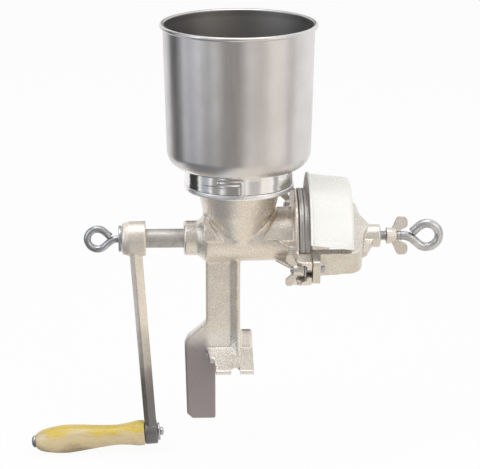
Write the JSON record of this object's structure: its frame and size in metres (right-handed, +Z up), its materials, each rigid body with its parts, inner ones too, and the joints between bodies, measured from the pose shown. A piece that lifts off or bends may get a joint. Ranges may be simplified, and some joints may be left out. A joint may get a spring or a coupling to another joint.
{
  "type": "hand-cranked grain mill",
  "caption": "Hand-cranked burr mill for corn and grain with a tall steel hopper, cast body, plastic burr guard, wood-gripped crank and a leg that clamps over a table edge.",
  "frame": {"origin": "centre of the seat under the clamp's saddle, where the mill stands on the table top, straight below the hopper's axis", "axes": "+X along the crankshaft from the crank to the adjusting screw, +Y to the back, +Z up along the hopper's axis"},
  "size_m": [0.3962, 0.1478, 0.4221],
  "materials": {
    "bright_sheet": "bright satin sheet steel",
    "tinned_iron": "tinned rough casting",
    "dark_iron": "dark tinned casting",
    "plated_steel": "zinc plated",
    "cream_plastic": "moulded, glossy",
    "varnished_wood": "yellow varnish"
  },
  "bodies": {
    "mill_frame": {"mill_body": "tinned_iron", "fixed_burr": "dark_iron", "bridge": "tinned_iron", "bridge_bolt_back": "plated_steel", "bridge_bolt_front": "plated_steel", "burr_guard": "cream_plastic"},
    "hopper": {"hopper": "bright_sheet"},
    "thrust": {"thrust_ball": "plated_steel"},
    "drive_train": {"feed_screw": "plated_steel", "burr_carrier": "tinned_iron", "drive_pin": "plated_steel", "moving_burr": "dark_iron", "crank_arm": "dark_iron", "handle_bolt": "plated_steel", "handle_washer": "plated_steel"},
    "grip": {"handle_grip": "varnished_wood"},
    "clamp_washer": {"crank_washer": "plated_steel"},
    "clamp_screw": {"crank_eye_screw": "plated_steel"},
    "adjuster": {"adjusting_screw": "plated_steel"},
    "lock_nut": {"lock_wing_nut": "tinned_iron"},
    "front_washer": {"washer_front": "plated_steel"},
    "front_nut": {"wing_nut_front": "tinned_iron"},
    "back_washer": {"washer_back": "plated_steel"},
    "back_nut": {"wing_nut_back": "tinned_iron"}
  },
  "joints": [
    {"name": "hopper_twist", "type": "hinge", "parent": "mill_frame", "child": "hopper", "pos_m": [0, 0, 0.19], "axis": [0, 0, -1], "range_deg": [0, 24]},
    {"name": "burr_gap", "type": "slide", "parent": "mill_frame", "child": "thrust", "axis": [1, 0, 0], "range_m": [0, 0.0015]},
    {"name": "crank_turn", "type": "hinge", "parent": "thrust", "child": "drive_train", "pos_m": [0, 0, 0.127], "axis": [1, 0, 0], "continuous": true},
    {"name": "adjusting_turn", "type": "hinge", "parent": "thrust", "child": "adjuster", "pos_m": [0.12, 0, 0.127], "axis": [1, 0, 0], "range_deg": [0, 360.1]},
    {"name": "lock_nut_turn", "type": "hinge", "parent": "adjuster", "child": "lock_nut", "pos_m": [0.145, 0, 0.127], "axis": [1, 0, 0], "range_deg": [-180, 180]},
    {"name": "grip_spin", "type": "hinge", "parent": "drive_train", "child": "grip", "pos_m": [-0.0853, 0, -0.0685], "axis": [0.9976, 0, 0.0698], "continuous": true},
    {"name": "clamp_back_off", "type": "slide", "parent": "drive_train", "child": "clamp_washer", "axis": [-1, 0, 0], "range_m": [0, 0.0025]},
    {"name": "clamp_screw_turn", "type": "hinge", "parent": "clamp_washer", "child": "clamp_screw", "pos_m": [-0.12, 0, 0.127], "axis": [-1, 0, 0], "range_deg": [0, 720.1]},
    {"name": "front_nut_back_off", "type": "slide", "parent": "mill_frame", "child": "front_washer", "axis": [-1, 0, 0], "range_m": [0, 0.00376]},
    {"name": "front_nut_turn", "type": "hinge", "parent": "front_washer", "child": "front_nut", "pos_m": [0.05, -0.05231, 0.11], "axis": [-1, 0, 0], "range_deg": [0, 1080]},
    {"name": "back_nut_back_off", "type": "slide", "parent": "mill_frame", "child": "back_washer", "axis": [-1, 0, 0], "range_m": [0, 0.00376]},
    {"name": "back_nut_turn", "type": "hinge", "parent": "back_washer", "child": "back_nut", "pos_m": [0.05, 0.05231, 0.144], "axis": [-1, 0, 0], "range_deg": [0, 1080]}
  ],
  "couplings": [
    {"joint": "adjusting_turn", "follows": "burr_gap", "rad_per_m": 4188.8},
    {"joint": "clamp_screw_turn", "follows": "clamp_back_off", "rad_per_m": 5026.5},
    {"joint": "front_nut_back_off", "follows": "front_nut_turn", "m_per_rad": 0.00019894},
    {"joint": "back_nut_back_off", "follows": "back_nut_turn", "m_per_rad": 0.00019894}
  ]
}
